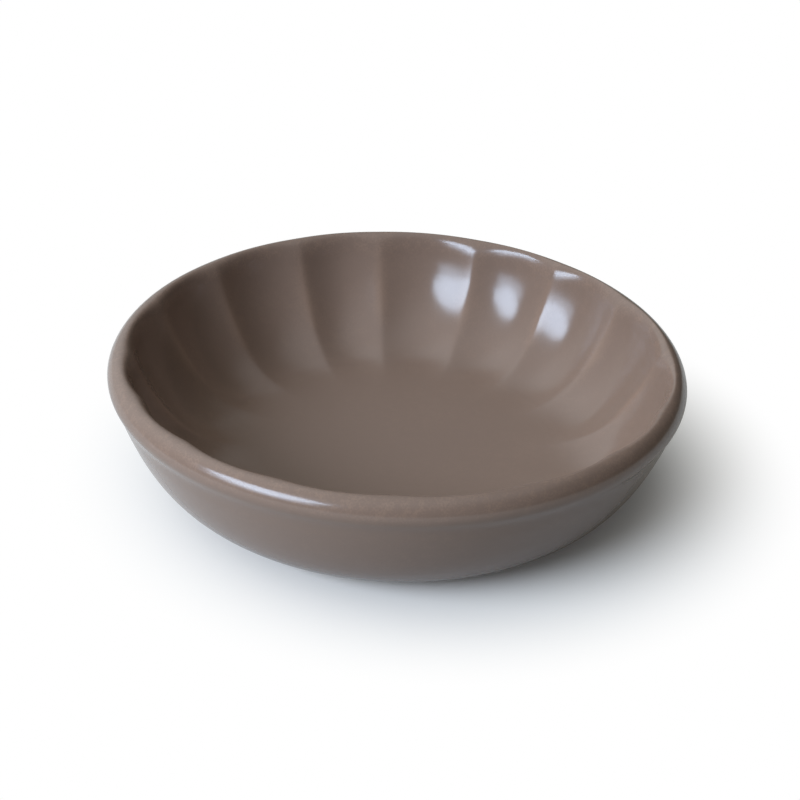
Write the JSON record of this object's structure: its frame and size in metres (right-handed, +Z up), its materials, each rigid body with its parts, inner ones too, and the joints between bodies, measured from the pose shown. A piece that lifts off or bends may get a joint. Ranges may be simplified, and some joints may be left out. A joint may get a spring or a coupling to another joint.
{
  "type": "soy sauce dish",
  "caption": "Small round glazed stoneware dish with a fluted well and a soft beaded rim, for soy sauce or condiments.",
  "frame": {"origin": "centre of the foot ring, on the plane that it stands on", "axes": "+Z up along the axis of the dish; -Y towards the viewer of the picture, +X to the right"},
  "size_m": [0.1, 0.1, 0.0244],
  "materials": {
    "bare_clay": "fired stoneware, unglazed, matte",
    "brown_glaze": "taupe brown satin gloss glaze, breaking lighter and warmer on the rim"
  },
  "bodies": {
    "root": {"clay_body": "bare_clay", "inside_glaze": "brown_glaze", "outside_glaze": "brown_glaze", "recess_glaze": "brown_glaze"}
  },
  "joints": []
}
